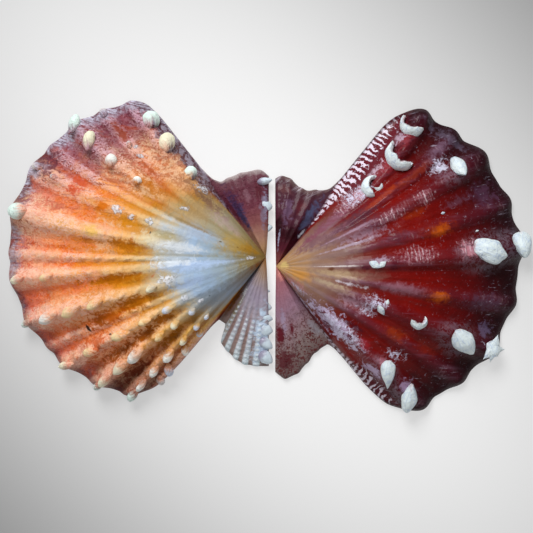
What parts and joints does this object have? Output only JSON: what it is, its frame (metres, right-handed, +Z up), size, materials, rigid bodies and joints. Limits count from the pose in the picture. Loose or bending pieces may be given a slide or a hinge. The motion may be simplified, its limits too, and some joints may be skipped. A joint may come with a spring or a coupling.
{
  "type": "scallop shell",
  "caption": "Pair of matching scallop valves, ribbed and knobbed outside, hollow inside, lying side by side along their hinge margins.",
  "frame": {"origin": "centre of the pair on the surface that both valves rest on", "axes": "+X from the orange valve to the red valve across the hinge, +Y along the hinge margins towards the ears without the byssal notch, +Z up through the crown of the valves"},
  "size_m": [0.0833, 0.0495, 0.0106],
  "materials": {
    "orange_shell": "satin, orange to rose and cream, with pale scales",
    "red_shell": "glossy dark red with white knobs"
  },
  "bodies": {
    "root": {"orange_valve": "orange_shell", "red_valve": "red_shell"}
  },
  "joints": []
}
